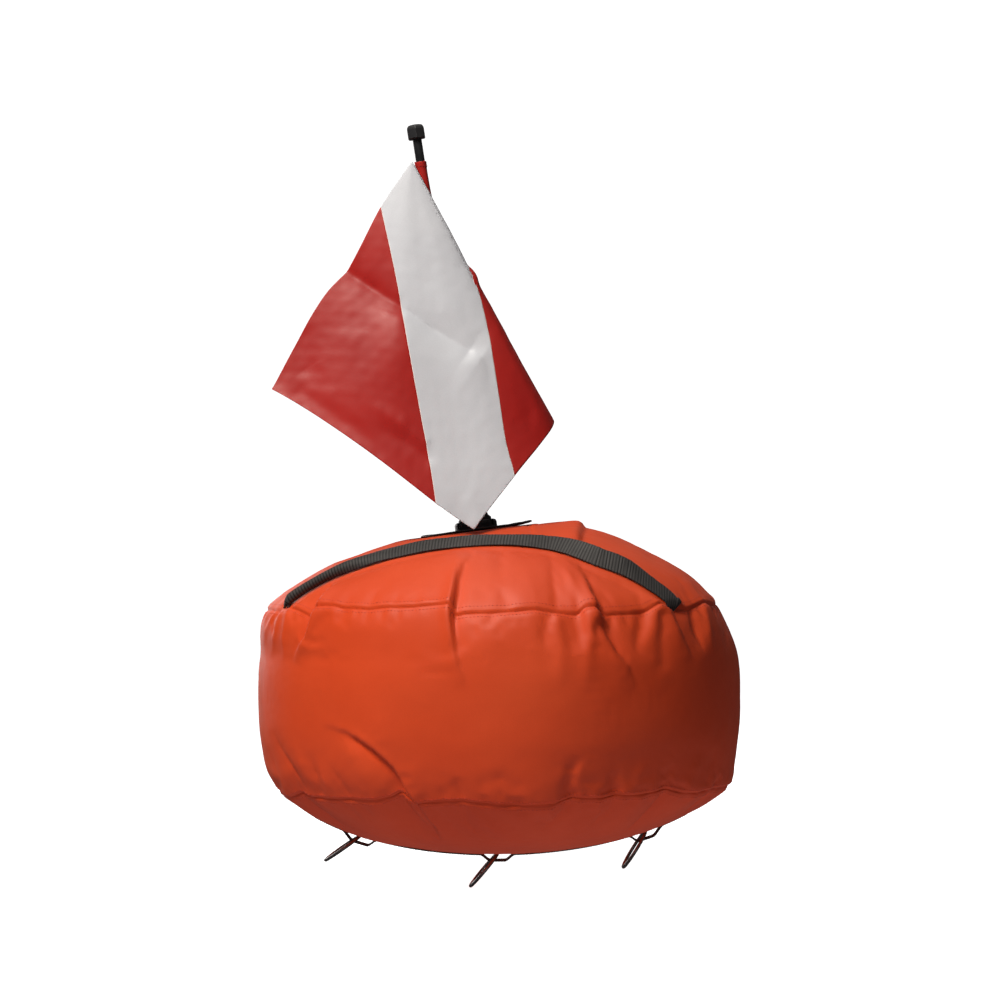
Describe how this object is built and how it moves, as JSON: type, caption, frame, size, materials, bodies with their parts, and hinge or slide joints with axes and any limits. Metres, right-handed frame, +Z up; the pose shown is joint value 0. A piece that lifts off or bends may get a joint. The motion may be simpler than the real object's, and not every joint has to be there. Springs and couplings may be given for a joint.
{
  "type": "dive flag float",
  "caption": "Round air-filled dive float in a zipped orange cover, with webbing handles, steel rings on a strap below and a removable mast carrying a red flag with a white diagonal.",
  "frame": {"origin": "centre of the object's outline seen from above, at the height of the lowest point of the mooring rings", "axes": "+Z up, +X to the right and +Y away from the viewer in the picture; the handles run along X"},
  "size_m": [0.7002, 0.7033, 1.1156],
  "materials": {
    "orange_fabric": "coated woven fabric, fluorescent orange-red, satin",
    "black_webbing": "flat woven polyester webbing, black, matte",
    "black_rubber": "moulded black rubber, matte",
    "black_plastic": "black plastic, satin",
    "polished_steel": "polished stainless steel",
    "flag_red": "red coated flag cloth, satin",
    "flag_white": "white coated flag cloth, satin",
    "bladder_film": "grey plastic film",
    "grey_plastic": "grey moulded plastic",
    "zip_tape": "woven zip tape, orange-red, matte",
    "zip_chain": "black coil zip chain"
  },
  "bodies": {
    "float": {"cover_top_panel": "orange_fabric", "cover_side_band": "orange_fabric", "cover_bottom_panel": "orange_fabric", "bladder": "bladder_film", "valve_body": "black_plastic", "handle_front": "black_webbing", "handle_rear": "black_webbing", "bottom_strap": "black_webbing", "mast_patch": "black_rubber", "mast_foot": "black_rubber", "foot_screw_1": "polished_steel", "foot_screw_2": "polished_steel", "foot_screw_3": "polished_steel", "foot_screw_4": "polished_steel", "foot_nut_1": "polished_steel", "foot_nut_2": "polished_steel", "foot_nut_3": "polished_steel", "foot_nut_4": "polished_steel", "backing_plate": "grey_plastic", "zip_tape_upper": "zip_tape", "zip_tape_lower": "zip_tape", "zip_chain": "zip_chain", "zip_stop_left": "polished_steel", "zip_stop_right": "polished_steel"},
    "mast": {"mast_tube": "black_plastic", "mast_cap": "black_rubber", "sleeve_stop_ring": "black_rubber"},
    "flag": {"flag_sleeve": "flag_red", "flag_stripe": "flag_white", "flag_lower_panel": "flag_red", "flag_upper_panel": "flag_red"},
    "ring_left": {"ring_left": "polished_steel"},
    "ring_center": {"ring_center": "polished_steel"},
    "ring_right": {"ring_right": "polished_steel"},
    "zip_slider": {"zip_slider": "black_plastic"},
    "zip_pull": {"zip_pull": "black_plastic"},
    "valve_cap": {"valve_cap": "black_plastic"}
  },
  "joints": [
    {"name": "mast_slide", "type": "slide", "parent": "float", "child": "mast", "axis": [-0.1374, 0, 0.9905], "range_m": [0, 0.05]},
    {"name": "flag_spin", "type": "hinge", "parent": "mast", "child": "flag", "pos_m": [-0.03, 0, 0.52174], "axis": [-0.1374, 0, 0.9905], "continuous": true},
    {"name": "ring_left_hinge", "type": "hinge", "parent": "float", "child": "ring_left", "pos_m": [-0.206, 0, 0.07724], "axis": [0, 1, 0], "range_deg": [-118, 41]},
    {"name": "ring_center_hinge", "type": "hinge", "parent": "float", "child": "ring_center", "pos_m": [-0.006, 0, 0.04866], "axis": [0, 1, 0], "range_deg": [-121, 39]},
    {"name": "ring_right_hinge", "type": "hinge", "parent": "float", "child": "ring_right", "pos_m": [0.21, 0, 0.07806], "axis": [0, 1, 0], "range_deg": [-131, 29]},
    {"name": "zip_slide", "type": "hinge", "parent": "float", "child": "zip_slider", "pos_m": [0, 0, 0.3], "axis": [0, 0, 1], "range_deg": [-114, 0]},
    {"name": "zip_pull_hinge", "type": "hinge", "parent": "zip_slider", "child": "zip_pull", "pos_m": [-0.29897, 0.194, 0.3], "axis": [0.5443, 0.8389, 0], "range_deg": [0, 150]},
    {"name": "valve_cap_slide", "type": "slide", "parent": "float", "child": "valve_cap", "axis": [-0.0302, 0.4713, 0.8814], "range_m": [0, 0.015]}
  ]
}
